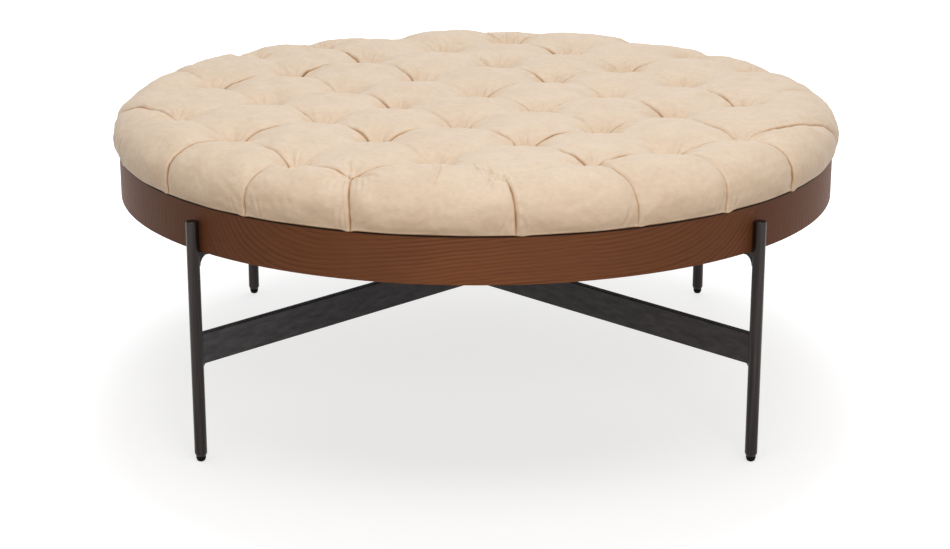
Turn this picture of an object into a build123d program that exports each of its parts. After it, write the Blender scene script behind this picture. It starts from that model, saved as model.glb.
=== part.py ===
from build123d import *
from math import asin, atan2, cos, degrees, hypot, radians, sin
import os

# Round tufted ottoman coffee table: a leather cushion on a wooden ring, carried by four
# round legs and a crossed pair of flat bars.
# The origin is on the floor under the centre of the top. +Z is up and the front faces -Y.
# Lengths are in millimetres and angles in degrees.

# Overall sizes
overall_diameter = 990.6
overall_height = 406.4

# Wooden ring, set back a little under the cushion
apron_setback = 5.8
apron_width = 25.0
apron_height = 60.3
apron_edge_radius = 1.5
joint_gap = 0.2
dowel_diameter = 8.0
dowel_length = 40.0
dowel_edge_distance = 17.0

# Corner blocks glued across the joints of the ring
block_width = 120.0
block_depth = 42.0

# Legs and their levelling feet
leg_diameter = 16.0
leg_lap = 40.0
leg_edge_chamfer = 0.8
leg_foot_taper = 4.0
foot_diameter = 12.6
foot_height = 7.2
foot_sole_diameter = 6.5
foot_edge = 2.4
stud_diameter = 6.0
stud_chamfer = 1.0
stud_grip = 18.4
leveller_travel = 10.0

# Crossed bars
stretcher_bottom = 131.0
stretcher_height = 40.0
stretcher_thickness = 10.0
stretcher_edge_radius = 1.0
weld_radius = 3.0

# Brackets that carry the ring on the legs
bracket_width = 14.0
bracket_thickness = 5.0
bracket_length = 68.0
bracket_end_radius = 6.0
gusset_radius = 14.0
gusset_thickness = 8.0

# Screws
bracket_screw_diameter = 4.5
bracket_screw_head = 9.0
bracket_screw_head_height = 2.6
bracket_screw_length = 38.0
bracket_screw_spacing = 22.0
bracket_screw_setback = 10.0
deck_screw_diameter = 5.0
deck_screw_head = 10.0
deck_screw_head_height = 3.0
deck_screw_bite = 9.0
deck_screw_spacing = 76.0
deck_screw_recess = 26.0
deck_screw_recess_diameter = 12.0

# Deck board, dust cover and the layers of the cushion
deck_thickness = 12.0
leather_thickness = 1.5
quilt_thickness = 6.0
hem_width = 30.0
dust_cover_thickness = 0.8
dust_cover_margin = 1.5

# Side profile of the cushion
cushion_height = 66.8
widest_rise = 18.4
hem_draw_in = 3.8
rim_radius = 38.0
rim_turn = 50.0
rim_sink = 26.0
shoulder_excess = 2.0

# Tufts: a square grid, turned on the cushion, whose squares swell into lobes
tuft_spacing = 134.0
tuft_turn = 37.3
tuft_offset_x = 4.2
tuft_offset_y = 37.6
tuft_margin = 25.0
lobe_height = 22.4
lobe_reach_share = 0.687
pocket_diameter = 34.0
pocket_floor_diameter = 7.0
pocket_rise = 14.0
pleat_width = 7.0
pleat_depth = 4.5
tie_diameter = 3.0
tie_sides = 6

# Clearances and the overrun of cuts
soft_clearance = 0.3
leg_clearance = 0.3
weld_clearance = 0.1
fit_clearance = 0.05
stud_clearance = 0.08
screw_clearance = 0.1
overrun = 5.0

# Derived sizes
overall_radius = overall_diameter / 2
apron_radius = overall_radius - apron_setback
apron_inner_radius = apron_radius - apron_width
hem_radius = overall_radius - hem_draw_in
hem_bottom = overall_height - cushion_height
hem_top = hem_bottom + leather_thickness
widest_height = hem_bottom + widest_rise
apron_top = hem_bottom - soft_clearance
apron_bottom = apron_top - apron_height
leg_radius = leg_diameter / 2
leg_circle = apron_radius + leg_clearance + leg_radius
leg_top = apron_bottom + leg_lap
deck_bottom = hem_top + soft_clearance
deck_top = deck_bottom + deck_thickness
deck_radius = hem_radius - quilt_thickness - soft_clearance
hem_opening_radius = deck_radius - hem_width
lobe_floor = overall_height - lobe_height
lobe_reach = lobe_reach_share * tuft_spacing
lobe_radius = (lobe_reach**2 + lobe_height**2) / (2 * lobe_height)
lobe_centre_height = overall_height - lobe_radius
shoulder_rise = overall_height + shoulder_excess - widest_height
shoulder_radius = (shoulder_rise - rim_radius * sin(radians(rim_turn))) / (1 - sin(radians(rim_turn)))
tuft_circle = overall_radius - tuft_margin
pocket_depth = quilt_thickness - leather_thickness
hollow_top = lobe_floor - quilt_thickness
foam_top = hollow_top - soft_clearance

corner_angles = {"front_left": 225, "front_right": 315, "rear_right": 45, "rear_left": 135}
side_angles = {"front": 270, "right": 0, "rear": 90, "left": 180}
quarter = 90


def upright(angle):
    """Vertical plane through the table's axis: its x runs outward at the angle, its y is up."""
    return Plane.XZ.rotated((0, 0, angle))


def level(height, angle=0):
    """Horizontal plane at a height, with its x turned to the angle."""
    return Plane.XY.offset(height).rotated((0, 0, angle))


def around(radius, angle, height=0):
    """Point at a radius from the table's axis, an angle and a height."""
    return (radius * cos(radians(angle)), radius * sin(radians(angle)), height)


def save(piece, name):
    """Label a finished piece and write it."""
    piece.part.label = name
    export_step(piece.part, f"parts/{name}.step")


def grid_place(column, row):
    """Plan position of a place on the turned tuft grid, counted in spacings."""
    along, across = column * tuft_spacing, row * tuft_spacing
    turn = radians(tuft_turn)
    return (
        tuft_offset_x + along * cos(turn) - across * sin(turn),
        tuft_offset_y + along * sin(turn) + across * cos(turn),
    )


def is_tuft(column, row):
    """Whether the grid point lies far enough inside the rim to be sewn down."""
    return hypot(*grid_place(column, row)) < tuft_circle


def is_rim_tuft(column, row):
    """Whether a tuft lacks a neighbour, so that its pleat runs out over the rim."""
    return not all(is_tuft(column + a, row + b) for a, b in ((1, 0), (-1, 0), (0, 1), (0, -1)))


def is_lobe(column, row):
    """Whether the grid square above this point has two tufts or more at its corners."""
    return sum(is_tuft(column + a, row + b) for a in (0, 1) for b in (0, 1)) > 1


grid_count = int(overall_diameter / tuft_spacing)
grid_reach = range(-grid_count, grid_count + 1)
grid_points = [(column, row) for column in grid_reach for row in grid_reach]
tufts = [grid_place(*point) for point in grid_points if is_tuft(*point)]
rim_tufts = [grid_place(*point) for point in grid_points if is_tuft(*point) and is_rim_tuft(*point)]
lobes = [grid_place(column + 0.5, row + 0.5) for column, row in grid_points if is_lobe(column, row)]


def turned(profile_points, place):
    """Solid turned about the vertical line through a place, from points of its half profile."""
    with BuildPart() as solid:
        with BuildSketch(Plane(origin=(*place, 0), x_dir=(1, 0, 0), z_dir=(0, -1, 0))):
            with BuildLine():
                Polyline(*profile_points, close=True)
            make_face()
        revolve(axis=Axis((*place, 0), (0, 0, 1)))
    return solid.part


def bracket_screw(place, clearance=0):
    """Countersunk screw up through a bracket, or the room for it."""
    bottom = apron_bottom - bracket_thickness
    head, shank = bracket_screw_head / 2 + clearance, bracket_screw_diameter / 2 + clearance
    neck, tip = bottom + bracket_screw_head_height, bottom + bracket_screw_length + clearance
    return turned([(0, bottom), (head, bottom), (shank, neck), (shank, tip - shank), (0, tip)], place)


def deck_screw(place, clearance=0):
    """Pan head screw up through a corner block into the deck board, or the room for it."""
    seat = apron_bottom + deck_screw_recess
    shank = deck_screw_diameter / 2 + clearance
    tip = deck_bottom + deck_screw_bite + clearance
    if clearance:
        head, bottom = deck_screw_recess_diameter / 2, apron_bottom
    else:
        head, bottom = deck_screw_head / 2, seat - deck_screw_head_height
    profile = [(0, bottom), (head, bottom), (head, seat), (shank, seat), (shank, tip - shank), (0, tip)]
    return turned(profile, place)


def swelling(inset, top):
    """Plain turned form of the cushion, drawn in by the inset at its side and cut off at a height."""
    with BuildPart() as form:
        with BuildSketch(Plane.XZ):
            with BuildLine():
                widest, low = (overall_radius - inset, widest_height), (hem_radius - inset, hem_bottom)
                side = TangentArc(widest, low, tangent=(0, -1))
                rim = JernArc(side @ 0, (0, 1), rim_radius - inset, rim_turn)
                shoulder = JernArc(rim @ 1, rim % 1, shoulder_radius - inset, 90 - rim_turn)
                Polyline(shoulder @ 1, (0, (shoulder @ 1).Y), (0, hem_bottom), side @ 1)
            make_face()
        revolve(axis=Axis.Z)
        split(bisect_by=level(top), keep=Keep.BOTTOM)
    return form.part


def tufted_form():
    """The cushion's outer form: lobes on a floor inside a rolled rim, with a pocket at each tuft."""
    with BuildPart() as dome:
        rise = degrees(atan2(lobe_floor - lobe_centre_height, lobe_reach))
        with BuildSketch(Plane.XZ):
            with BuildLine():
                cap = CenterArc((0, lobe_centre_height), lobe_radius, rise, 90 - rise)
                Polyline(cap @ 1, (0, lobe_floor), cap @ 0)
            make_face()
        revolve(axis=Axis.Z)
    with BuildPart() as form:
        flank = degrees(asin(rim_sink / rim_radius))
        roll_place = (overall_radius - rim_radius, lobe_floor - rim_sink)
        edge = overall_radius + overrun
        with BuildSketch(Plane.XZ):
            with BuildLine():
                roll = CenterArc(roll_place, rim_radius, 90, 90 - flank)
                Polyline(roll @ 1, (0, lobe_floor), (0, hem_bottom), (edge, hem_bottom))
                Polyline((edge, hem_bottom), (edge, (roll @ 0).Y), roll @ 0)
            make_face()
        revolve(axis=Axis.Z)
        with Locations(*((x, y, 0) for x, y in lobes)):
            add(dome.part)
        add(swelling(0, overall_height + overrun), mode=Mode.INTERSECT)
        with Locations(*((x, y, lobe_floor - pocket_depth) for x, y in tufts)):
            Cone(
                pocket_floor_diameter / 2,
                pocket_diameter / 2,
                pocket_depth + pocket_rise,
                align=(Align.CENTER, Align.CENTER, Align.MIN),
                mode=Mode.SUBTRACT,
            )
    return form.part


def rim_pleat(place):
    """Cutter for the pleat that runs from an outer tuft over the rim and down to the hem."""
    angle = degrees(atan2(place[1], place[0]))
    shoulder_start = overall_radius - rim_radius + (rim_radius - shoulder_radius) * cos(radians(rim_turn))
    start = min(hypot(*place), shoulder_start) - pocket_diameter / 2
    top = overall_height - pleat_depth
    with BuildPart() as pleat:
        with BuildLine(upright(angle)) as path:
            run = Line((start, top), (shoulder_start, top))
            shoulder = JernArc(run @ 1, run % 1, shoulder_radius - pleat_depth, rim_turn - quarter)
            rim = JernArc(shoulder @ 1, shoulder % 1, rim_radius - pleat_depth, -rim_turn)
            hem_end = upright(angle).from_local_coords((hem_radius - pleat_depth, hem_bottom))
            TangentArc(rim @ 1, hem_end, tangent=rim % 1)
        mouth = Plane(origin=around(start, angle, top), x_dir=around(1, angle + 90), z_dir=around(1, angle))
        with BuildSketch(mouth):
            rise = pleat_depth + overrun
            half_opening = pleat_width / 2 * rise / pleat_depth
            with BuildLine():
                Polyline((0, 0), (half_opening, rise), (-half_opening, rise), close=True)
            make_face()
        sweep(path=path.line)
    return pleat.part


os.makedirs("parts", exist_ok=True)

# Wooden ring: four quarter segments, butted and dowelled where the legs stand
joint_angles = list(corner_angles.values())
dowel_heights = (apron_bottom + dowel_edge_distance, apron_top - dowel_edge_distance)
dowel_places = [(apron_radius - apron_width / 2, height) for height in dowel_heights]
joint_draw_back = degrees(joint_gap / 2 / apron_radius)

for side, angle in side_angles.items():
    start, end = angle - quarter / 2, angle + quarter / 2
    with BuildPart() as apron:
        with BuildSketch(upright(start + joint_draw_back)):
            with Locations(((apron_radius + apron_inner_radius) / 2, (apron_bottom + apron_top) / 2)):
                Rectangle(apron_width, apron_height)
            outer_corners = vertices().sort_by(lambda corner: -hypot(corner.X, corner.Y))[:2]
            fillet(outer_corners, apron_edge_radius)
        revolve(axis=Axis.Z, revolution_arc=quarter - 2 * joint_draw_back)
        for joint in (start, end):
            with BuildSketch(upright(joint)):
                with Locations(*dowel_places):
                    Circle(dowel_diameter / 2 + fit_clearance)
            extrude(amount=dowel_length / 2 + fit_clearance, both=True, mode=Mode.SUBTRACT)
    save(apron, f"apron_{side}")

with BuildPart() as apron_dowels:
    for joint in joint_angles:
        with BuildSketch(upright(joint)):
            with Locations(*dowel_places):
                Circle(dowel_diameter / 2)
        extrude(amount=dowel_length / 2, both=True)
save(apron_dowels, "apron_dowels")

# Corner blocks and the screws through them
block_outer_radius = apron_inner_radius - fit_clearance
block_inner_radius = apron_inner_radius - block_depth
bracket_outer = leg_circle - leg_radius
bracket_inner = bracket_outer - bracket_length
bracket_screw_circle = [
    bracket_inner + bracket_screw_setback,
    bracket_inner + bracket_screw_setback + bracket_screw_spacing,
]


def bracket_screw_places(angle):
    """Plan positions of the two screws of one bracket."""
    return [around(radius, angle)[:2] for radius in bracket_screw_circle]


def deck_screw_places(angle):
    """Plan positions of the two deck screws of one corner block."""
    middle = (block_outer_radius + block_inner_radius) / 2
    offsets = (-deck_screw_spacing / 2, deck_screw_spacing / 2)
    beside = [level(0, angle).from_local_coords((middle, offset)) for offset in offsets]
    return [(point.X, point.Y) for point in beside]


for corner, angle in corner_angles.items():
    with BuildPart() as block:
        with BuildSketch(level(apron_bottom, angle)):
            with Locations((block_inner_radius, 0)):
                Rectangle(block_depth + overrun, block_width, align=(Align.MIN, Align.CENTER))
            Circle(block_outer_radius, mode=Mode.INTERSECT)
        extrude(amount=apron_height)
        for place in bracket_screw_places(angle):
            add(bracket_screw(place, screw_clearance), mode=Mode.SUBTRACT)
        for place in deck_screw_places(angle):
            add(deck_screw(place, screw_clearance), mode=Mode.SUBTRACT)
    save(block, f"corner_block_{corner}")

with BuildPart() as bracket_screws:
    for angle in joint_angles:
        for place in bracket_screw_places(angle):
            add(bracket_screw(place))
save(bracket_screws, "bracket_screws")

with BuildPart() as deck_screws:
    for angle in joint_angles:
        for place in deck_screw_places(angle):
            add(deck_screw(place))
save(deck_screws, "deck_screws")

# Legs, brackets and levelling feet at the four corners
stud_bottom = foot_height / 2
stud_top = foot_height + leveller_travel + stud_grip

for corner, angle in corner_angles.items():
    leg_place = around(leg_circle, angle)[:2]
    with BuildPart() as leg:
        add(
            turned(
                [
                    (0, foot_height),
                    (foot_diameter / 2, foot_height),
                    (leg_radius, foot_height + leg_foot_taper),
                    (leg_radius, leg_top - leg_edge_chamfer),
                    (leg_radius - leg_edge_chamfer, leg_top),
                    (0, leg_top),
                ],
                leg_place,
            )
        )
        with BuildSketch(level(foot_height)):
            with Locations(leg_place):
                Circle(stud_diameter / 2 + stud_clearance)
        extrude(amount=stud_top - foot_height + stud_chamfer, mode=Mode.SUBTRACT)
    save(leg, f"leg_{corner}")

    with BuildPart() as bracket:
        with BuildSketch(level(apron_bottom - bracket_thickness, angle)):
            with Locations((bracket_inner, 0)):
                Rectangle(bracket_length + leg_radius, bracket_width, align=(Align.MIN, Align.CENTER))
            inner_corners = vertices().sort_by(lambda corner: hypot(corner.X, corner.Y))[:2]
            fillet(inner_corners, bracket_end_radius)
        extrude(amount=bracket_thickness)
        with BuildSketch(upright(angle)):
            gusset_top = apron_bottom - bracket_thickness
            with BuildLine():
                hollow = CenterArc(
                    (bracket_outer - gusset_radius, gusset_top - gusset_radius), gusset_radius, 0, quarter
                )
                Polyline(
                    hollow @ 1,
                    (bracket_outer - gusset_radius, apron_bottom),
                    (leg_circle, apron_bottom),
                    (leg_circle, gusset_top - gusset_radius),
                    hollow @ 0,
                )
            make_face()
        extrude(amount=gusset_thickness / 2, both=True)
        with Locations((*leg_place, 0)):
            Cylinder(
                leg_radius + weld_clearance,
                overall_height,
                align=(Align.CENTER, Align.CENTER, Align.MIN),
                mode=Mode.SUBTRACT,
            )
        for place in bracket_screw_places(angle):
            add(bracket_screw(place, screw_clearance), mode=Mode.SUBTRACT)
    save(bracket, f"leg_bracket_{corner}")

    with BuildPart() as foot:
        add(
            turned(
                [
                    (0, 0),
                    (foot_sole_diameter / 2, 0),
                    (foot_diameter / 2 - foot_edge / 2, foot_edge / 2),
                    (foot_diameter / 2, foot_edge * 2),
                    (foot_diameter / 2, foot_height),
                    (0, foot_height),
                ],
                leg_place,
            )
        )
        with BuildSketch(level(stud_bottom)):
            with Locations(leg_place):
                Circle(stud_diameter / 2 + fit_clearance)
        extrude(amount=foot_height, mode=Mode.SUBTRACT)
    save(foot, f"foot_{corner}")

    with BuildPart() as stud:
        add(
            turned(
                [
                    (0, stud_bottom),
                    (stud_diameter / 2, stud_bottom),
                    (stud_diameter / 2, stud_top - stud_chamfer),
                    (stud_diameter / 2 - stud_chamfer, stud_top),
                    (0, stud_top),
                ],
                leg_place,
            )
        )
    save(stud, f"foot_stud_{corner}")

# Crossed bars: one runs through, two halves butt against it, all coped round the legs
weld_start = leg_circle - leg_radius


def weld_corner(angle, height, turn):
    """Small concave weld between a bar's edge at a height and its leg; the turn is up or down."""
    with BuildPart() as weld:
        with BuildSketch(upright(angle)):
            with BuildLine():
                centre = (weld_start - weld_radius, height + turn * weld_radius)
                hollow = CenterArc(centre, weld_radius, 0, -turn * quarter)
                Polyline(
                    hollow @ 1,
                    (weld_start - weld_radius, height - turn * weld_radius),
                    (leg_circle, height - turn * weld_radius),
                    (leg_circle, height + turn * weld_radius),
                    hollow @ 0,
                )
            make_face()
        extrude(amount=stretcher_thickness / 2 - stretcher_edge_radius, both=True)
    return weld.part


def stretcher_arm(angle, start):
    """Flat bar from a start radius out to the leg at the angle, with its welds."""
    across = Plane(origin=around(start, angle), x_dir=around(1, angle + quarter), z_dir=around(1, angle))
    with BuildPart() as arm:
        with BuildSketch(across):
            with Locations((0, stretcher_bottom + stretcher_height / 2)):
                RectangleRounded(stretcher_thickness, stretcher_height, stretcher_edge_radius)
        extrude(amount=leg_circle - start)
        add(weld_corner(angle, stretcher_bottom, -1))
        add(weld_corner(angle, stretcher_bottom + stretcher_height, 1))
        with Locations(around(leg_circle, angle)):
            Cylinder(
                leg_radius + weld_clearance,
                overall_height,
                align=(Align.CENTER, Align.CENTER, Align.MIN),
                mode=Mode.SUBTRACT,
            )
    return arm.part


with BuildPart() as stretcher_through:
    for corner in ("front_left", "rear_right"):
        add(stretcher_arm(corner_angles[corner], 0))
save(stretcher_through, "stretcher_through")

for corner, name in (("front_right", "stretcher_half_front"), ("rear_left", "stretcher_half_rear")):
    with BuildPart() as stretcher_half:
        add(stretcher_arm(corner_angles[corner], stretcher_thickness / 2))
    save(stretcher_half, name)

# Deck board and dust cover under the cushion
deck_screw_circle = [place for angle in joint_angles for place in deck_screw_places(angle)]
screw_room = [deck_screw(place, screw_clearance) for place in deck_screw_circle]

with BuildPart() as deck_board:
    with BuildSketch(level(deck_bottom)):
        Circle(deck_radius)
        with Locations(*tufts):
            RegularPolygon(tie_diameter / 2 + screw_clearance, tie_sides, mode=Mode.SUBTRACT)
    extrude(amount=deck_thickness)
    add(screw_room, mode=Mode.SUBTRACT)
save(deck_board, "deck_board")

with BuildPart() as dust_cover:
    with BuildSketch(level(deck_bottom - soft_clearance)):
        Circle(hem_opening_radius - dust_cover_margin)
    extrude(amount=-dust_cover_thickness)
    add(screw_room, mode=Mode.SUBTRACT)
save(dust_cover, "dust_cover")

# Cushion: foam slab, tufted leather cover with its wadding, and the ties that hold the tufts down
with BuildPart() as foam_core:
    add(swelling(quilt_thickness + soft_clearance, foam_top))
    split(bisect_by=level(deck_top + soft_clearance), keep=Keep.TOP)
    with BuildSketch(level(deck_top)):
        with Locations(*tufts):
            RegularPolygon(tie_diameter / 2 + screw_clearance, tie_sides)
    extrude(amount=cushion_height, mode=Mode.SUBTRACT)
save(foam_core, "foam_core")

with BuildPart() as cover_hollow:
    add(swelling(quilt_thickness, hollow_top))
    split(bisect_by=level(hem_top), keep=Keep.TOP)

with BuildPart() as pleats:
    for place in rim_tufts:
        add(rim_pleat(place))

with BuildPart() as leather_cover:
    add(tufted_form())
    add(cover_hollow.part, mode=Mode.SUBTRACT)
    add(pleats.part, mode=Mode.SUBTRACT)
    with BuildSketch(level(hem_bottom - overrun)):
        Circle(hem_opening_radius)
    extrude(amount=overrun + 2 * leather_thickness, mode=Mode.SUBTRACT)
save(leather_cover, "leather_cover")

with BuildPart() as tuft_ties:
    with BuildSketch(level(deck_bottom)):
        with Locations(*tufts):
            RegularPolygon(tie_diameter / 2, tie_sides)
    extrude(amount=foam_top - deck_bottom)
save(tuft_ties, "tuft_ties")

print(len(tufts), "tufts,", len(rim_tufts), "of them at the rim, and", len(lobes), "lobes")
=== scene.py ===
import math

import bpy
import numpy as np
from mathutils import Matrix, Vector


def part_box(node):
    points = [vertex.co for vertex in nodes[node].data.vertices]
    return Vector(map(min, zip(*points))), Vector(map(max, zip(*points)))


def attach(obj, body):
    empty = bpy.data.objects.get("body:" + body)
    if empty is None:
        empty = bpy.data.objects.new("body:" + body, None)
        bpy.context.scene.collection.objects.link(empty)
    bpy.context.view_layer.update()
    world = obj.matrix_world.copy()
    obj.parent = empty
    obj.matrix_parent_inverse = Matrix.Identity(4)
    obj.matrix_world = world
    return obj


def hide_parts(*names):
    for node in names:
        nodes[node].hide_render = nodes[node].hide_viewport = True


# Looks of a round tufted ottoman coffee table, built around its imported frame.
# Lengths are in metres, angles in degrees, and the front of the table faces -Y.

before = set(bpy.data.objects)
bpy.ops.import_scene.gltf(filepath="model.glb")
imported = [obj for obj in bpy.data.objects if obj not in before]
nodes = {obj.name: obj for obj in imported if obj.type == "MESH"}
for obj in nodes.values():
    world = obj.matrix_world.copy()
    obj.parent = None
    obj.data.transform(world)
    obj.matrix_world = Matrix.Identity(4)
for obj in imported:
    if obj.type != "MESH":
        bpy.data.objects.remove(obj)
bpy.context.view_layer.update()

# Camera, as found from the four feet and the ring's outline, and the floor
IMAGE_WIDTH = 950
CAMERA_PLACE = (-0.00125, -2.9546, 1.0614)
CAMERA_PITCH = 17.32
CAMERA_FOCAL_PIXELS = 2185.17
SENSOR_WIDTH = 36.0
FLOOR_SIZE = 12.0

# Cushion profile, from its hem up over the rim to the crown
COVER_LOW, COVER_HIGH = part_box("leather_cover")
COVER_RADIUS = (COVER_HIGH.x - COVER_LOW.x) / 2
HEM_HEIGHT = COVER_LOW.z
TOP_HEIGHT = COVER_HIGH.z
RING_RADIUS = -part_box("apron_front")[0].y
WIDEST_HEIGHT = 0.358
HEM_DRAW_IN = 0.0038
SHOULDER_RADIUS = 0.417
CROWN_RISE = 0.0010
RIM_ROUNDNESS = 2.4
HEM_EDGE_RADIUS = 0.0025
HEM_WIDTH = 0.034
LEATHER_THICKNESS = 0.0014
DECK_CLEARANCE = 0.0002

# Tuft grid
TUFT_SPACING = 0.134
TUFT_TURN = 37.3
TUFT_ORIGIN = (0.0042, 0.0376)
TUFT_CIRCLE = 0.470
TUFT_DEPTH = 0.029
RIM_TUFT_DEPTH = 0.012
TUFT_WIDTH = 0.0065
TUFT_REACH = 0.027
RIM_TUFT_REACH = 0.022
SHOULDER_START, SHOULDER_SPAN = 0.41, 0.055
# A corner tuft further out than this has one rim pleat, straight outward, in place of two
CORNER_RADIUS = 0.425

# Pleats: how deep they hold the cover down, how far they bow aside and how wide the painted shade of their
# creases is.
# Across each one lie a sharp cleft, a broader slope and a lip on one side
PLEAT_DEPTH = 0.0012
RIM_PLEAT_DEPTH = 0.0036
PLEAT_BOW_SHARE = 0.02
PLEAT_REACH = 0.024
CREASE_WIDTH = 0.0016
RIM_CREASE_WIDTH, RIM_CREASE_SPREAD = 0.0011, 0.0012
# Left strength and share, right strength and share, as in the table of creases below
UNSEEN_CREASES = (0.3, 0.4, 0.3, 0.4)
CLEFT_DEPTH, CLEFT_WIDTH = 0.0042, 0.0012
SLOPE_DEPTH, SLOPE_WIDTH = 0.0016, 0.006
LIP_RISE, LIP_ASIDE, LIP_WIDTH = 0.0015, 0.0042, 0.0024

# Gathers in a ring round each tuft, as so many waves of a chance depth, and the knot at a rim tuft
GATHER_RADIUS, GATHER_WIDTH = 0.023, 0.013
GATHER_WAVES = (5, 7, 10, 14, 19, 24)
GATHER_DEPTHS = (0.0008, 0.0014)
GATHER_REACH = 0.06
KNOT_DEPTH, KNOT_RADIUS, KNOT_WIDTH = 0.0011, 0.009, 0.004

# Short soft folds, with a low bank on each side: wrinkles below the tufts and puckers at the hem,
# each with a least and a greatest distance, length and depth
FOLD_REACH = 0.009
FOLD_WIDTH = 0.0021
BANK_SHARE, BANK_ASIDE, BANK_WIDTH = 0.45, 0.0045, 0.002
WRINKLE_STARTS, WRINKLE_LENGTHS, WRINKLE_DEPTHS = (0.012, 0.03), (0.015, 0.035), (0.0005, 0.0013)
PUCKER_TURNS, PUCKER_LENGTHS, PUCKER_DEPTHS = (0.8, 2.8), (0.012, 0.032), (0.0004, 0.0011)

# How the cover settles: the stuffing's push, and the grip of the pleats and tufts on it
SWELL = 8.5
PILLOW_RISE, PILLOW_ROUNDNESS = 0.0016, 0.0028
PLEAT_GRIP, PLEAT_GRIP_WIDTH, PLEAT_GRIP_REACH = 2.2e5, 0.0034, 0.012
TUFT_GRIP = 4e6
# Coarse to fine: the stride over the grid and the rounds of relaxing it
SOLVE_ROUNDS = ((8, 400), (4, 400), (2, 300), (1, 220))
# Wavelength and size of what is left uneven
UNEVENNESS = ((0.050, 0.0005), (0.016, 0.00016))

# The hem's edge: how far it hangs down all round, and the swags below the pleats
HEM_HANG = 0.0002
HEM_WAVES = (9, 14, 23, 37)
SWAG_TURN, SWAG_DEPTHS = 0.014, (0.0008, 0.0026)

# Low places of the rim: azimuth from +X and width in degrees, and depth
LOW_PLACES = ((108, 8, 0.006), (14, 16, 0.0035))
LOW_PLACE_ASIDE, LOW_PLACE_REACH = 0.03, 0.045

# Spacing of the finished mesh, and of the grid on which the cover settles
MESH_STEP = 0.0014
SOLVE_STEP = 0.0024

SEED = 11
random = np.random.default_rng(SEED)


def half_profile():
    """Radii and heights of the cover's outline, from the crown's centre to the lip under the deck."""
    shoulder_height = TOP_HEIGHT - CROWN_RISE
    flat = np.linspace(0, SHOULDER_RADIUS, 200, endpoint=False)
    crown = CROWN_RISE * (1 - (flat / SHOULDER_RADIUS) ** 2)
    turn = np.radians(np.linspace(90, 0, 200, endpoint=False))
    rim_radii = SHOULDER_RADIUS + (COVER_RADIUS - SHOULDER_RADIUS) * np.cos(turn) ** (2 / RIM_ROUNDNESS)
    rim_heights = WIDEST_HEIGHT + (shoulder_height - WIDEST_HEIGHT) * np.sin(turn) ** (2 / RIM_ROUNDNESS)
    drop = np.linspace(0, 1, 60, endpoint=False)
    side_radii = COVER_RADIUS - HEM_DRAW_IN * drop**2
    side_heights = WIDEST_HEIGHT + (HEM_HEIGHT + HEM_EDGE_RADIUS - WIDEST_HEIGHT) * drop
    curl = np.radians(np.linspace(0, 90, 8, endpoint=False))
    hem_radius = COVER_RADIUS - HEM_DRAW_IN
    edge_radii = hem_radius - HEM_EDGE_RADIUS * (1 - np.cos(curl))
    edge_heights = HEM_HEIGHT + HEM_EDGE_RADIUS * (1 - np.sin(curl))
    under = np.linspace(hem_radius - HEM_EDGE_RADIUS, hem_radius - HEM_WIDTH, 30)
    radii = np.concatenate([flat, rim_radii, side_radii, edge_radii, under])
    heights = np.concatenate([
        shoulder_height + crown, rim_heights, side_heights, edge_heights, np.full(len(under), HEM_HEIGHT),
    ])
    return radii, heights


class Outline:
    """The cover's outline by the distance travelled along it from the crown's centre."""

    def __init__(self):
        radii, heights = half_profile()
        steps = np.hypot(np.diff(radii), np.diff(heights))
        self.travel = np.concatenate([[0], np.cumsum(steps)])
        self.radii, self.heights = radii, heights
        self.end = self.travel[-1]
        hem_radius = COVER_RADIUS - HEM_DRAW_IN
        self.hem = self.end - (HEM_WIDTH - HEM_EDGE_RADIUS) - HEM_EDGE_RADIUS * math.pi / 2

    def place(self, travel):
        return np.interp(travel, self.travel, self.radii), np.interp(travel, self.travel, self.heights)

    def normal(self, travel):
        """The direction out of the outline, as its share outward and its share upward."""
        span = 0.002
        ahead, behind = np.minimum(travel + span, self.end), np.maximum(travel - span, 0)
        r_ahead, z_ahead = self.place(ahead)
        r_behind, z_behind = self.place(behind)
        length = np.hypot(r_ahead - r_behind, z_ahead - z_behind) + 1e-9
        return -(z_ahead - z_behind) / length, (r_ahead - r_behind) / length

    def travel_at(self, radius):
        """How far along the outline a plan radius above the widest line lies."""
        above = self.heights >= WIDEST_HEIGHT
        return np.interp(radius, self.radii[above], self.travel[above])


outline = Outline()


def grid_place(column, row):
    """Plan position of a tuft grid point."""
    turn = math.radians(TUFT_TURN)
    along, across = column * TUFT_SPACING, row * TUFT_SPACING
    return np.array([
        TUFT_ORIGIN[0] + along * math.cos(turn) - across * math.sin(turn),
        TUFT_ORIGIN[1] + along * math.sin(turn) + across * math.cos(turn),
    ])


def unrolled(plan):
    """A plan position moved out to its distance along the outline."""
    radius = np.hypot(*plan)
    return plan * outline.travel_at(radius) / radius


GRID_COUNT = int(2 * COVER_RADIUS / TUFT_SPACING)
GRID_REACH = range(-GRID_COUNT, GRID_COUNT + 1)
DIRECTIONS = ((1, 0), (0, 1), (-1, 0), (0, -1))
tufts = {
    (i, j): grid_place(i, j)
    for i in GRID_REACH for j in GRID_REACH if np.hypot(*grid_place(i, j)) < TUFT_CIRCLE
}

# Columns of the photograph in which the front pleats meet the hem, and the circle they were read on
HEM_COLUMNS = {
    (-3, 0): 170.3, (-3, -1): 246.6, (-3, -2): 350.9, (-2, -3): 516.0, (-1, -3): 637.3, (0, -3): 724.5,
    (1, -3): 789.4,
}
HEM_LINE_RADIUS = 0.48826
COLUMN_ROUNDS = 40


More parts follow.
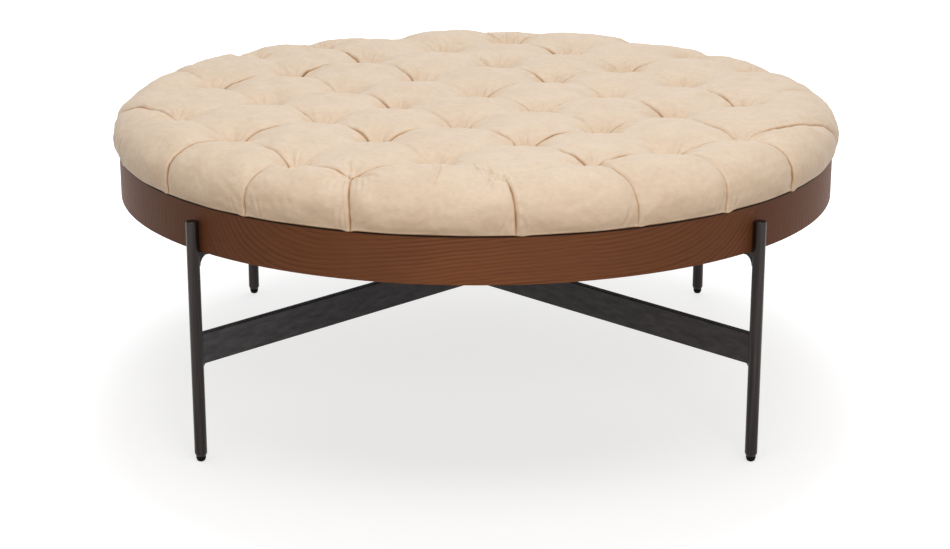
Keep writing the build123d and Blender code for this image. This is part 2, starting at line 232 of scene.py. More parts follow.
def hem_azimuth(column):
    """The azimuth, to 0.1 degree, at which a column of the photograph crosses the near side of the hem."""
    pitch = math.radians(CAMERA_PITCH)
    rise = (CAMERA_PLACE[2] - HEM_HEIGHT) * math.sin(pitch)
    x = 0.0
    for _ in range(COLUMN_ROUNDS):
        y = -math.sqrt(HEM_LINE_RADIUS**2 - x**2)
        depth = (y - CAMERA_PLACE[1]) * math.cos(pitch) + rise
        x = CAMERA_PLACE[0] + (column - IMAGE_WIDTH / 2) * depth / CAMERA_FOCAL_PIXELS
    return round(math.degrees(math.atan2(y, x)), 1)


front_ends = {key: hem_azimuth(column) for key, column in HEM_COLUMNS.items()}

# How far some tufts that can be seen lie off the even grid, along X and Y
TUFT_SHIFTS = {
    (-3, 1): (0.003, -0.033), (-3, 0): (0.004, -0.027), (-3, -1): (0.012, -0.042), (-3, -2): (0.003, -0.002),
    (-2, 2): (-0.001, -0.016), (-2, 1): (0, -0.006), (-2, 0): (0.004, -0.003), (-2, -2): (-0.004, -0.014),
    (-1, 3): (0.010, 0.003), (-1, 2): (0, -0.008), (-1, 1): (-0.002, -0.012), (-1, 0): (-0.004, -0.001),
    (-1, -1): (0, -0.007), (-1, -3): (0, -0.009), (0, 2): (-0.006, 0.002), (0, 1): (-0.006, -0.016),
    (0, 0): (-0.002, -0.013), (0, -1): (0.001, 0.002), (0, -2): (-0.004, -0.010), (0, -3): (-0.006, -0.018),
    (1, 1): (0, -0.006), (1, 0): (-0.001, 0), (1, -1): (-0.008, 0.010), (1, -2): (-0.013, -0.007),
    (1, -3): (-0.015, -0.043), (2, 2): (-0.004, -0.012), (2, 1): (0, 0.005), (2, 0): (-0.002, -0.008),
    (2, -1): (-0.006, -0.004), (2, -2): (-0.017, -0.034), (3, 1): (0.010, -0.003),
}
for key, shift in TUFT_SHIFTS.items():
    tufts[key] = tufts[key] + shift

# Tufts at the front that are drawn in less than the others
SHALLOW_TUFTS = {(-3, -2): 0.009, (-2, -3): 0.0045, (-1, -3): 0.013, (1, -3): 0.014, (-3, 1): 0.012}

# The rim pleats of the tufts along the front and the sides: where each meets the hem, in degrees from
# +X, how strong its crease is, and from what share of the way on it can be seen, or up to what share
# where the share is negative
RIM_PLEATS = {
    (-2, 2): ((156.5, 0.2, 0), (175.5, 0.8, 0)), (-3, 1): ((182.5, 0.55, -0.6), (198.3, 0.1, 0)),
    (-3, 0): ((front_ends[-3, 0], 0.9, 0),), (-3, -1): ((front_ends[-3, -1], 0.5, 0.1),),
    (-3, -2): ((front_ends[-3, -2], 0.8, 0),), (-2, -3): ((front_ends[-2, -3], 0.85, 0),),
    (-1, -3): ((front_ends[-1, -3], 0.5, 0),), (0, -3): ((front_ends[0, -3], 0.6, 0.3),),
    (1, -3): ((front_ends[1, -3], 0.85, 0.1), (-12.0, 0.6, -0.75)), (2, -2): ((8.0, 0.15, 0),),
}

# The creases that run from a tuft up to the left and up to the right in the photographed view:
# how strong each is and over what share of its pleat it runs
CREASES = {
    (-2, -3): (0.10, 0.3, 0.12, 0.3), (-3, -2): (0.50, 0.8, 0.62, 0.9), (-1, -3): (0.75, 0.5, 0.66, 0.75),
    (-3, -1): (0.45, 0.6, 0.12, 0.3), (-2, -2): (0.18, 0.4, 0.12, 0.4), (0, -3): (0.12, 0.4, 0.45, 0.7),
    (-1, -2): (0.55, 0.5, 1.0, 0.6), (-2, -1): (0.75, 0.5, 0.70, 0.5), (1, -3): (0.40, 0.7, 0, 0),
    (-3, 0): (0.14, 0.4, 0.75, 0.6), (0, -2): (0.28, 0.45, 0.34, 0.4), (-1, -1): (0.34, 0.45, 0.60, 0.3),
    (-2, 0): (0.44, 0.45, 0.14, 0.3), (-3, 1): (0, 0, 0.16, 0.3), (1, -2): (0.65, 0.5, 0.14, 0.25),
    (0, -1): (0.34, 0.45, 0.34, 0.35), (-1, 0): (0.60, 0.5, 0.22, 0.35), (2, -2): (0.70, 0.55, 0, 0),
    (-2, 1): (0.16, 0.35, 0.10, 0.2), (1, -1): (0.28, 0.4, 0.14, 0.3), (0, 0): (0.18, 0.4, 0.40, 0.5),
    (-1, 1): (0.28, 0.45, 0.16, 0.3), (-2, 2): (0, 0, 0.75, 0.6), (2, -1): (0.12, 0.3, 0.16, 0.25),
    (1, 0): (0.65, 0.5, 0.40, 0.35), (0, 1): (0.50, 0.5, 0.16, 0.3), (-1, 2): (0.16, 0.35, 0.80, 0.6),
    (3, -1): (0.12, 0.3, 0, 0), (2, 0): (0.14, 0.35, 0.45, 0.45), (1, 1): (0.22, 0.35, 0.16, 0.25),
    (0, 2): (0.65, 0.6, 0.12, 0.3), (3, 0): (0.16, 0.35, 0, 0), (2, 1): (0.60, 0.5, 0.14, 0.3),
    (1, 2): (0.12, 0.3, 0.40, 0.25),
}

# Single folds that can be seen on the front pillows, as plan lines with a depth
SEEN_FOLDS = (
    ((-0.046, -0.400), (-0.053, -0.472), 0.0026), ((-0.008, -0.388), (0.004, -0.456), 0.0015),
    ((0.011, -0.402), (0.015, -0.480), 0.0016), ((0.418, -0.020), (0.452, -0.052), 0.0012),
)


def shoulder_share(place):
    """Zero on the flat top, one on the shoulder of the rim."""
    return float(np.clip((np.hypot(*place) - SHOULDER_START) / SHOULDER_SPAN, 0, 1))


def tuft_depth(key):
    """How deep a tuft is drawn in: less on the shoulder than on the flat top."""
    usual = TUFT_DEPTH + (RIM_TUFT_DEPTH - TUFT_DEPTH) * shoulder_share(tufts[key])
    return SHALLOW_TUFTS.get(key, usual)


class Pleat:
    """A fold of the cover: its line on the unrolled cover, with depth, cleft and the darkness of its painted
    shade along it.
    """

    def __init__(self, line, depth=None, cleft=None, darkness=None, side=1, width=CREASE_WIDTH):
        self.line, self.depth, self.cleft, self.darkness = line, depth, cleft, darkness
        self.side, self.width = side, width

    def measure(self, x, y, reach):
        """Points within reach: which they are, their signed distance and how far along they lie."""
        low, high = self.line.min(0) - reach, self.line.max(0) + reach
        near = np.flatnonzero((x > low[0]) & (x < high[0]) & (y > low[1]) & (y < high[1]))
        px, py = x[near], y[near]
        steps = np.linalg.norm(np.diff(self.line, axis=0), axis=1)
        before = np.concatenate([[0], np.cumsum(steps)])
        gap, signed, along = (np.full(len(near), value) for value in (np.inf, 0.0, 0.0))
        for start, end, travelled, step in zip(self.line[:-1], self.line[1:], before, steps):
            ux, uy = (end - start) / step
            foot = np.clip((px - start[0]) * ux + (py - start[1]) * uy, 0, step)
            dx, dy = px - start[0] - foot * ux, py - start[1] - foot * uy
            distance = np.hypot(dx, dy)
            closer = distance < gap
            gap = np.where(closer, distance, gap)
            signed = np.where(closer, distance * np.sign(ux * dy - uy * dx), signed)
            along = np.where(closer, (travelled + foot) / before[-1], along)
        kept = gap < reach
        return near[kept], signed[kept], along[kept]


def bent_line(start, end, bow, count=14):
    """A line between two places, bowed sideways by a share of its length."""
    share = np.linspace(0, 1, count)[:, None]
    along = end - start
    across = np.array([-along[1], along[0]])
    return start + along * share + across * bow * np.sin(math.pi * share)


def inner_pleats():
    """The pleats between neighbouring tufts."""
    for (i, j), place in tufts.items():
        for di, dj in DIRECTIONS[:2]:
            if (i + di, j + dj) in tufts:
                other = tufts[i + di, j + dj]
                start, end = unrolled(place), unrolled(other)
                length = np.linalg.norm(end - start)
                first = tuft_depth((i, j)) - PLEAT_DEPTH
                last = tuft_depth((i + di, j + dj)) - PLEAT_DEPTH
                strength, share = CREASES.get((i, j), UNSEEN_CREASES)[2 * di:2 * di + 2]

                def depth(t, length=length, first=first, last=last):
                    near, far = np.exp(-t * length / TUFT_REACH), np.exp(-(1 - t) * length / TUFT_REACH)
                    return PLEAT_DEPTH + first * near + last * far

                # Dark with painted shade and deep from this tuft on over its share, and only a little at the
                # other tuft
                def darkness(t, strength=strength, run=share + 0.01):
                    near = (1.35 - 0.4 * t / run) * strength * np.exp(-((t / run) ** 6))
                    return np.maximum(near, 0.2 * np.exp(-(((1 - t) / 0.25) ** 4)))

                def cleft(t, sharp=min(1.3 * strength, 1), run=0.22 + 0.6 * share):
                    near = (0.35 + 0.65 * sharp) * np.exp(-((t / run) ** 4))
                    return 0.08 + np.maximum(0.85 * near, 0.3 * np.exp(-(((1 - t) / 0.3) ** 3)))

                line = bent_line(start, end, random.uniform(-PLEAT_BOW_SHARE, PLEAT_BOW_SHARE))
                yield Pleat(line, depth, cleft, darkness, 1 if di else -1)


def shown(t, seen):
    """One where a rim pleat can be seen along its way, less elsewhere."""
    return np.clip(1 + 4 * (t - seen), 0.3, 1) if seen >= 0 else np.clip(1 - 5 * (t + seen), 0.1, 1)


def rim_pleats():
    """The pleats that run from the outer tufts over the rim and down to the hem."""
    for (i, j), place in tufts.items():
        missing = [d for d in DIRECTIONS if (i + d[0], j + d[1]) not in tufts]
        azimuth = math.degrees(math.atan2(place[1], place[0]))
        ends = []
        for di, dj in missing:
            beyond = grid_place(i + di, j + dj)
            share = np.linspace(0, 1.5, 60)[:, None]
            run = place + (beyond - place) * share
            crossing = run[np.argmax(np.hypot(run[:, 0], run[:, 1]) > COVER_RADIUS)]
            ends.append(math.degrees(math.atan2(crossing[1], crossing[0])))
        if len(ends) == 2 and np.hypot(*place) > CORNER_RADIUS:
            ends = [azimuth]
        start = unrolled(place)
        unseen = [(end, random.uniform(0.3, 0.9), 0) for end in ends]
        for end, strength, seen in RIM_PLEATS.get((i, j), unseen):
            start_radius, start_angle = np.hypot(*start), math.degrees(math.atan2(start[1], start[0]))
            share = np.linspace(0, 1, 22)
            radius = start_radius + (outline.hem - start_radius) * share
            sweep = (end - start_angle + 180) % 360 - 180
            angle = np.radians(start_angle + sweep * np.sin(share * math.pi / 2) ** 0.8)
            line = np.stack([radius * np.cos(angle), radius * np.sin(angle)], 1)
            length = np.linalg.norm(np.diff(line, axis=0), axis=1).sum()

            def depth(t, length=length, drawn=tuft_depth((i, j)), strength=strength, seen=seen):
                near = np.exp(-t * length / RIM_TUFT_REACH)
                shallow = RIM_PLEAT_DEPTH * (0.3 + 0.7 * strength) * (1 - 0.45 * t)
                return shallow * (shown(t, seen) if seen < 0 else 1) + (drawn - RIM_PLEAT_DEPTH) * near

            def darkness(t, strength=strength, seen=seen):
                start = np.clip(0.35 + 2.5 * (t - 2 * max(seen, 0)), 0, 1)
                return strength * start * (shown(t, seen) if seen < 0 else 1)

            def cleft(t, strength=strength, seen=seen):
                return (0.2 + 0.65 * strength) * shown(t, seen)

            # The crease's painted shade is broader where the pleat runs across the view and only its far
            # wall shows
            across = math.cos(math.radians(end))
            width = RIM_CREASE_WIDTH + RIM_CREASE_SPREAD * across**4
            yield Pleat(line, depth, cleft, darkness, 1 if across > 0 else -1, width)


inner, outer = list(inner_pleats()), list(rim_pleats())
pleats = inner + outer


def heading(degrees):
    """The unit vector in plan that points at an azimuth."""
    return np.array([math.cos(math.radians(degrees)), math.sin(math.radians(degrees))])


def wrinkles():
    """Short soft folds as lines with a depth: below the rim tufts, and at the hem beside the pleats."""
    for place in tufts.values():
        azimuth = math.degrees(math.atan2(place[1], place[0]))
        for _ in range(random.integers(2, 5) if shoulder_share(place) > 0 else random.integers(1, 4)):
            slant = random.uniform(-60, 60)
            start = unrolled(place) + heading(azimuth + slant) * random.uniform(*WRINKLE_STARTS)
            end = start + heading(azimuth + slant * 0.4) * random.uniform(*WRINKLE_LENGTHS)
            yield bent_line(start, end, random.uniform(-0.1, 0.1), 5), random.uniform(*WRINKLE_DEPTHS)
    for start, end, size in SEEN_FOLDS:
        yield bent_line(unrolled(np.array(start)), unrolled(np.array(end)), 0.06, 6), size
    for pleat in outer:
        azimuth = math.degrees(math.atan2(pleat.line[-1, 1], pleat.line[-1, 0]))
        for _ in range(random.integers(1, 4)):
            aside = azimuth + random.choice([-1, 1]) * random.uniform(*PUCKER_TURNS)
            tip = heading(aside + random.uniform(-0.7, 0.7))
            start = tip * (outline.hem - random.uniform(*PUCKER_LENGTHS))
            yield bent_line(start, heading(aside) * outline.hem, 0.03, 5), random.uniform(*PUCKER_DEPTHS)


def settle():
    """Depth of the stuffed cover under its outline, on a square grid over the unrolled cover.

    A membrane swells outward under the stuffing's even push, held down by tufts and pleats.
    """
    half = int(outline.hem / SOLVE_STEP) + 2
    axis = np.arange(-half, half + 1) * SOLVE_STEP
    x, y = (part.ravel() for part in np.meshgrid(axis, axis, indexing="ij"))
    hold, pull = np.zeros(len(x)), np.zeros(len(x))
    for pleat in pleats:
        near, signed, along = pleat.measure(x, y, PLEAT_GRIP_REACH)
        grip = PLEAT_GRIP * np.exp(-((signed / PLEAT_GRIP_WIDTH) ** 2))
        hold[near] += grip
        pull[near] += grip * pleat.depth(along)
    for key, place in tufts.items():
        tx, ty = unrolled(place)
        distance = np.hypot(x - tx, y - ty)
        grip = TUFT_GRIP * np.exp(-((distance / TUFT_WIDTH) ** 2))
        hold += grip
        pull += grip * tuft_depth(key)
    outside = (np.hypot(x, y) >= outline.hem).reshape(len(axis), -1)
    hold, pull = hold.reshape(outside.shape), pull.reshape(outside.shape)
    depth = np.zeros(outside.shape)
    for stride, rounds in SOLVE_ROUNDS:
        step = SOLVE_STEP * stride
        part = (slice(None, None, stride),) * 2
        coarse_hold = block_mean(hold, stride)[part]
        coarse_pull = block_mean(pull, stride)[part]
        level, fixed = depth[part].copy(), outside[part]
        for _ in range(rounds):
            padded = np.pad(level, 1)
            around = padded[2:, 1:-1] + padded[:-2, 1:-1] + padded[1:-1, 2:] + padded[1:-1, :-2]
            level = (around + step**2 * (coarse_pull - SWELL)) / (4 + step**2 * coarse_hold)
            level[fixed] = 0
        depth = filled_in(level, stride, depth.shape) if stride > 1 else level
    # Pillows rise a little above the outline, and their tops are rounded off there
    depth = depth + PILLOW_RISE
    depth = (depth + np.sqrt(depth**2 + PILLOW_ROUNDNESS**2)) / 2 - PILLOW_RISE
    for wavelength, size in UNEVENNESS:
        depth = depth + uneven_field(len(axis), wavelength, size)
    return axis, depth


def uneven_field(count, wavelength, size):
    """A smooth random field of about the wavelength and the size."""
    across = np.fft.fftfreq(count, SOLVE_STEP)
    pitch = np.hypot(across[:, None], across[None, :]) * wavelength
    waves = np.fft.fft2(random.normal(size=(count, count))) * np.exp(-(((pitch - 1) / 0.45) ** 2))
    field = np.fft.ifft2(waves).real
    return field * size / field.std()


def block_mean(field, stride):
    """The field averaged over squares of the stride's width."""
    if stride == 1:
        return field
    kernel = np.ones(stride) / stride

    def mean(row):
        return np.convolve(row, kernel, mode="same")

    return np.apply_along_axis(mean, 1, np.apply_along_axis(mean, 0, field))


def filled_in(level, stride, shape):
    """A coarse field filled in to the full grid."""
    rows = np.arange(shape[0]) / stride
    base = np.minimum(rows.astype(int), level.shape[0] - 2)
    part = (rows - base)[:, None]
    tall = level[base] * (1 - part) + level[base + 1] * part
    return tall[:, base] * (1 - part.T) + tall[:, base + 1] * part.T


def cubic_sample(axis, field, x, y):
    """The field between grid points, by smooth cubic blending."""
    step = axis[1] - axis[0]
    fx, fy = (x - axis[0]) / step, (y - axis[0]) / step
    ix = np.clip(fx.astype(int), 1, len(axis) - 3)
    iy = np.clip(fy.astype(int), 1, len(axis) - 3)

    def weights(t):
        return (
            ((-0.5 * t + 1) * t - 0.5) * t, (1.5 * t - 2.5) * t * t + 1,
            ((-1.5 * t + 2) * t + 0.5) * t, (0.5 * t - 0.5) * t * t,
        )

    across, up = weights(np.clip(fx - ix, 0, 1)), weights(np.clip(fy - iy, 0, 1))
    return sum(across[a] * up[b] * field[ix + a - 1, iy + b - 1] for a in range(4) for b in range(4))


def disc_grid(count):
    """A square grid bent onto a unit disc, row by row."""
    side = np.linspace(-1, 1, count)
    a, b = np.meshgrid(side, side, indexing="ij")
    wide = np.abs(a) > np.abs(b)
    with np.errstate(divide="ignore", invalid="ignore"):
        shallow = np.where(a == 0, 0, b / a) * math.pi / 4
        steep = math.pi / 2 - np.where(b == 0, 0, a / b) * math.pi / 4
    angle, radius = np.where(wide, shallow, steep), np.where(wide, a, b)
    return radius * np.cos(angle), radius * np.sin(angle)


def new_object(name, vertices, faces):
    """A smooth-shaded mesh object, linked into the scene."""
    mesh = bpy.data.meshes.new(name)
    mesh.from_pydata(vertices, [], faces)
    mesh.validate()
    mesh.update()
    piece = bpy.data.objects.new(name, mesh)
    bpy.context.scene.collection.objects.link(piece)
    mesh.polygons.foreach_set("use_smooth", np.full(len(mesh.polygons), True))
    return piece


def hem_drop(angle):
    """How far the hem's edge hangs below the top of the ring, uneven and lower at the pleats."""
    drop = np.full(len(angle), HEM_HANG)
    for count in HEM_WAVES:
        drop += HEM_HANG * np.cos(count * angle + random.uniform(0, 2 * math.pi))
    for pleat in outer:
        end = math.atan2(pleat.line[-1, 1], pleat.line[-1, 0]) + random.uniform(0.004, 0.016) * pleat.side
        gap = (angle - end + math.pi) % (2 * math.pi) - math.pi
        drop += random.uniform(*SWAG_DEPTHS) * np.exp(-((gap / SWAG_TURN) ** 2))
    return drop


def lay_pleats(x, y, depth):
    """Cuts the clefts into the depth, and returns how dark the painted shade in the crease is at each point.
    """
    crease_shading = np.zeros(len(x))
    for pleat in pleats:
        near, signed, along = pleat.measure(x, y, PLEAT_REACH)
        signed = signed * pleat.side
        cleft = CLEFT_DEPTH * np.exp(-np.abs(signed) / CLEFT_WIDTH)
        cleft = cleft + SLOPE_DEPTH * np.exp(-np.abs(signed) / SLOPE_WIDTH)
        lip = LIP_RISE * np.exp(-(((signed - LIP_ASIDE) / LIP_WIDTH) ** 2))
        depth[near] += pleat.cleft(along) * (cleft - lip)
        # The crease's painted shade: a dark line along the pleat, uneven along its way
        uneven = 0.85 + 0.15 * np.sin(along * random.uniform(9, 17) + random.uniform(0, 6))
        line = uneven * np.minimum(pleat.darkness(along), 1) * np.exp(-((signed / pleat.width) ** 2))
        crease_shading[near] = np.maximum(crease_shading[near], line)
    return crease_shading


def lay_gathers(x, y, depth):
    """Gathers the cover round each tuft, and knots it on the rim."""
    for key, place in tufts.items():
        tx, ty = unrolled(place)
        near = np.flatnonzero(np.hypot(x - tx, y - ty) < GATHER_REACH)
        distance = np.hypot(x[near] - tx, y[near] - ty)
        turn = np.arctan2(y[near] - ty, x[near] - tx)
        ripple = sum(
            np.cos(n * turn + random.uniform(0, 2 * math.pi)) * random.uniform(0.3, 1) * (7 / n) ** 0.6
            for n in GATHER_WAVES
        )
        size = random.uniform(*GATHER_DEPTHS) * min(tuft_depth(key) / RIM_TUFT_DEPTH, 1)
        depth[near] += size * ripple * np.exp(-(((distance - GATHER_RADIUS) / GATHER_WIDTH) ** 2))
        if shoulder_share(place) > 0:
            knot = np.cos(random.integers(5, 8) * turn + random.uniform(0, 2 * math.pi))
            depth[near] += KNOT_DEPTH * knot * np.exp(-(((distance - KNOT_RADIUS) / KNOT_WIDTH) ** 2))


def lay_wrinkles(x, y, depth):
    """Presses the short soft folds into the cover."""
    for line, size in wrinkles():
        near, signed, along = Pleat(line).measure(x, y, FOLD_REACH)
        bank = BANK_SHARE * np.exp(-(((np.abs(signed) - BANK_ASIDE) / BANK_WIDTH) ** 2))
        fold = np.exp(-((signed / FOLD_WIDTH) ** 2)) - bank
        depth[near] += size * fold * np.sin(math.pi * np.clip(along * 0.86 + 0.07, 0, 1))


def lay_low_places(travel, angle, depth):
    """Sinks the rim where it is seen to lie low."""
    rim = outline.travel_at(SHOULDER_RADIUS + LOW_PLACE_ASIDE)
    for azimuth, width, sunk in LOW_PLACES:
        gap = np.degrees((angle - math.radians(azimuth) + math.pi) % (2 * math.pi) - math.pi)
        on_rim = np.exp(-(((travel - rim) / LOW_PLACE_REACH) ** 2))
        depth += sunk * on_rim * np.exp(-((gap / width) ** 2))


def points_around(radius, angle, height):
    """Points at a radius from the table's axis, an angle and a height each, row by row."""
    return np.stack([radius * np.cos(angle), radius * np.sin(angle), height], 1)


def make_cushion():
    """The tufted cushion: the stuffed cover as one closed form that sits over the deck board."""
    count = int(2 * outline.end / MESH_STEP)
    unit_x, unit_y = disc_grid(count)
    x, y = unit_x.ravel() * outline.end, unit_y.ravel() * outline.end
    travel, angle = np.hypot(x, y), np.arctan2(y, x)
    axis, settled = settle()
    inside = travel < outline.hem
    depth = np.where(inside, cubic_sample(axis, settled, x, y), 0)
    crease_shading = lay_pleats(x, y, depth)
    lay_gathers(x, y, depth)
    lay_wrinkles(x, y, depth)
    lay_low_places(travel, angle, depth)
    # The marks grow fainter towards the hem, which hangs a little over the ring's top edge
    fade = np.clip((outline.hem - travel) / 0.008, 0, 1)
    depth = np.where(inside, depth * (0.5 + 0.5 * fade), 0)
    radius, height = outline.place(travel)
    out, up = outline.normal(travel)
    overhang = np.clip((radius - RING_RADIUS - 0.0005) / 0.0008, 0, 1)
    overhang *= np.clip((0.010 - np.abs(travel - outline.hem)) / 0.008, 0, 1)
    radius, height = radius - out * depth, height - up * depth - overhang * hem_drop(angle)
    all_vertices = [points_around(radius, angle, height)]
    index = np.arange(count * count).reshape(count, count)
    quads = np.stack([index[:-1, :-1], index[1:, :-1], index[1:, 1:], index[:-1, 1:]], -1)
    all_quads = [quads.reshape(-1, 4)]
    # Under the deck the lip turns up, and the form closes over the deck's top
    rim = np.concatenate([index[0, :-1], index[:-1, -1], index[-1, :0:-1], index[:0:-1, 0]])
    deck_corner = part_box("deck_board")[1]
    lip_radius, lip_top = COVER_RADIUS - HEM_DRAW_IN - HEM_WIDTH, HEM_HEIGHT + LEATHER_THICKNESS
    inner_radius, inner_top = deck_corner.x + DECK_CLEARANCE, deck_corner.z + DECK_CLEARANCE
    rings = (
        (lip_radius, lip_top), (inner_radius, lip_top), (inner_radius, inner_top),
        (inner_radius / 2, inner_top),
    )
    previous, first = rim, count * count
    for ring_radius, ring_height in rings:
        all_vertices.append(points_around(ring_radius, angle[rim], np.full(len(rim), ring_height)))
        ring = np.arange(first, first + len(rim))
        all_quads.append(np.stack([previous, np.roll(previous, -1), np.roll(ring, -1), ring], -1))
        previous, first = ring, first + len(rim)
    faces = np.concatenate(all_quads).tolist()
    faces.append(previous.tolist())
    cushion = new_object("cushion", np.concatenate(all_vertices), faces)
    # Painted shadow: the turned-in lip under the hem's edge is as dark as the shade in a crease
    crease_shading = np.maximum(crease_shading, np.clip((travel - outline.hem - 0.0012) / 0.0008, 0, 1))
    crease_shading = np.concatenate([crease_shading, np.zeros(len(rim) * len(rings))]).astype(np.float32)
    cushion.data.attributes.new("crease_shade", "FLOAT", "POINT").data.foreach_set("value", crease_shading)
    return cushion


cushion = make_cushion()
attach(cushion, "table")
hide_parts("leather_cover", "foam_core")


def new_material(name):
    """A node material, with its tree and its shader."""
    material = bpy.data.materials.new(name)
    material.use_nodes = True
    tree = material.node_tree
    shader = tree.nodes["Principled BSDF"]
    return material, tree, shader


def add_node(tree, kind, inputs=None, **settings):
    """A node with its settings, and with each input linked to a socket or set to a value."""
    node = tree.nodes.new(kind)
    for key, value in settings.items():
        setattr(node, key, value)
    for key, value in (inputs or {}).items():
        if isinstance(value, bpy.types.NodeSocket):
            tree.links.new(value, node.inputs[key])
        else:
            node.inputs[key].default_value = value
    return node


def ramp(tree, factor, stops):
    """The colour at the factor, between stops of position and colour."""
    node = add_node(tree, "ShaderNodeValToRGB", {"Fac": factor})
    while len(node.color_ramp.elements) < len(stops):
        node.color_ramp.elements.new(0.5)
    for element, (position, colour) in zip(node.color_ramp.elements, stops):
        element.position = position
        element.color = (*colour, 1)
    return node.outputs["Color"]


def grey(level):
    """A colour with all three parts alike."""
    return (level, level, level)


def blend_colours(tree, factor, first, second, mode="MIX"):
    """The first colour with the second laid over it, by the factor."""
    node = tree.nodes.new("ShaderNodeMix")
    node.data_type, node.blend_type = "RGBA", mode
    for index, value in ((0, factor), (6, first), (7, second)):
        if isinstance(value, bpy.types.NodeSocket):
            tree.links.new(value, node.inputs[index])
        else:
            node.inputs[index].default_value = value if index == 0 else (*value, 1)
    return node.outputs[2]


def place_of(tree, scale=(1, 1, 1), turn=0.0):
    """Points of the table's own space, scaled and turned about the upright axis."""
    spot = add_node(tree, "ShaderNodeTexCoord").outputs["Object"]
    inputs = {"Vector": spot, "Scale": scale, "Rotation": (0, 0, math.radians(turn))}
    return add_node(tree, "ShaderNodeMapping", inputs).outputs["Vector"]


def noise(tree, where, scale, detail, roughness):
    """Smooth chance values about a half, over the given points."""
    inputs = {"Vector": where, "Scale": scale, "Detail": detail, "Roughness": roughness}
    return add_node(tree, "ShaderNodeTexNoise", inputs).outputs["Fac"]


def bump(tree, height, distance, strength, below=None):
    """A surface roughened by a height, over another bump where there is one below."""
    inputs = {"Height": height, "Distance": distance, "Strength": strength}
    if below is not None:
        inputs["Normal"] = below
    return add_node(tree, "ShaderNodeBump", inputs).outputs["Normal"]


def maths(tree, operation, first, second=0.0):
    """One operation on two values or sockets."""
    node = add_node(tree, "ShaderNodeMath", {0: first, 1: second}, operation=operation)
    return node.outputs["Value"]


def leather_material():
    """Cream leather, mottled and a little scuffed, with painted shade in the creases, tan and then dark."""
    material, tree, shader = new_material("cream leather")
    where = place_of(tree)
    broad = noise(tree, where, 7.0, 3.0, 0.55)
    mottled = noise(tree, where, 34.0, 5.0, 0.62)
    fine = noise(tree, where, 420.0, 3.0, 0.6)
    colour = ramp(tree, broad, ((0.36, (0.722, 0.572, 0.420)), (0.64, (0.748, 0.606, 0.460))))
    pale = ramp(tree, mottled, ((0.40, (0.702, 0.552, 0.405)), (0.62, (0.768, 0.626, 0.475))))
    colour = blend_colours(tree, 0.5, colour, pale)
    crease_shade = add_node(tree, "ShaderNodeAttribute", attribute_name="crease_shade").outputs["Fac"]
    specks = noise(tree, place_of(tree, (1, 1, 2.2), 30), 150.0, 4.0, 0.7)
    scuffs = ramp(tree, specks, ((0.36, (0.97, 0.96, 0.95)), (0.5, (1, 1, 1)), (0.68, (1.04, 1.05, 1.06))))
    colour = blend_colours(tree, 1.0, colour, scuffs, "MULTIPLY")
    # Painted shade in the creases: tan where the shade is light, dark brown where it is deep
    crease_half_shade = ramp(tree, crease_shade, ((0.10, grey(0)), (0.42, grey(0.85))))
    dark = ramp(tree, crease_shade, ((0.45, grey(0)), (0.95, grey(0.9))))
    colour = blend_colours(tree, crease_half_shade, colour, (0.45, 0.250, 0.105))
    colour = blend_colours(tree, dark, colour, (0.085, 0.038, 0.020))
    tree.links.new(colour, shader.inputs["Base Color"])
    shader.inputs["Roughness"].default_value = 0.58
    shader.inputs["Specular IOR Level"].default_value = 0.4
    shader.inputs["Sheen Weight"].default_value = 0.12
    shader.inputs["Sheen Roughness"].default_value = 0.5
    grain = bump(tree, fine, 0.00025, 0.5)
    tree.links.new(bump(tree, mottled, 0.0009, 0.5, grain), shader.inputs["Normal"])
    return material


# Heart of the tree outside each board of the ring: its radius from the table's axis and its height,
# where it is highest. Then how its line bends down to the sides, how far from the middle of the board
# it is highest, the thickness of a growth layer, and how much painted shade darkens each board
TREE_HEARTS = {
    "front": (RING_RADIUS + 0.226, 0.564), "right": (RING_RADIUS + 0.24, 0.43),
    "rear": (RING_RADIUS + 0.20, 0.60), "left": (RING_RADIUS + 0.26, 0.40),
}
HEART_BEND = 1.35
HEART_ASIDE = 0.037
GROWTH_STEP = 0.0036
BOARD_SHADES = {"front": 1.0, "right": 0.9, "rear": 0.95, "left": 0.78}
# The painted shadow on the wood where the leather meets it: from where up it is full, and the height of its
# fade
HEM_SHADOW_HEIGHT, HEM_SHADOW_FADE = HEM_HEIGHT - 0.0017, 0.0009


def growth_layers(tree, where, parts, heart):
    """How far through its growth layer each point lies, and a chance value of that layer's year."""
    heart_radius, heart_height = heart
    aside = maths(tree, "SUBTRACT", parts.outputs["Y"], HEART_ASIDE)
    fall = maths(tree, "MULTIPLY", maths(tree, "MULTIPLY", aside, aside), HEART_BEND)
    outward = maths(tree, "SUBTRACT", parts.outputs["X"], heart_radius)
    upward = maths(tree, "ADD", maths(tree, "SUBTRACT", parts.outputs["Z"], heart_height), fall)
    across = add_node(tree, "ShaderNodeCombineXYZ", {0: outward, 2: upward}).outputs[0]
    layer = add_node(tree, "ShaderNodeVectorMath", {0: across}, operation="LENGTH").outputs["Value"]
    # Good and bad years make layers of uneven thickness, and the tree's growth makes them wavy
    along = maths(tree, "MULTIPLY", layer, 90.0)
    years = add_node(tree, "ShaderNodeTexNoise", {"W": along}, noise_dimensions="1D").outputs["Fac"]
    wobble = noise(tree, where, 5.0, 3.0, 0.5)
    wavy = maths(tree, "ADD", maths(tree, "MULTIPLY", wobble, 0.011), layer)
    wavy = maths(tree, "ADD", maths(tree, "MULTIPLY", years, 0.0022), wavy)
    phase = maths(tree, "DIVIDE", wavy, GROWTH_STEP)
    year = add_node(
        tree, "ShaderNodeTexWhiteNoise", {"W": maths(tree, "FLOOR", phase)}, noise_dimensions="1D",
    )
    return maths(tree, "FRACT", phase), year.outputs["Value"]


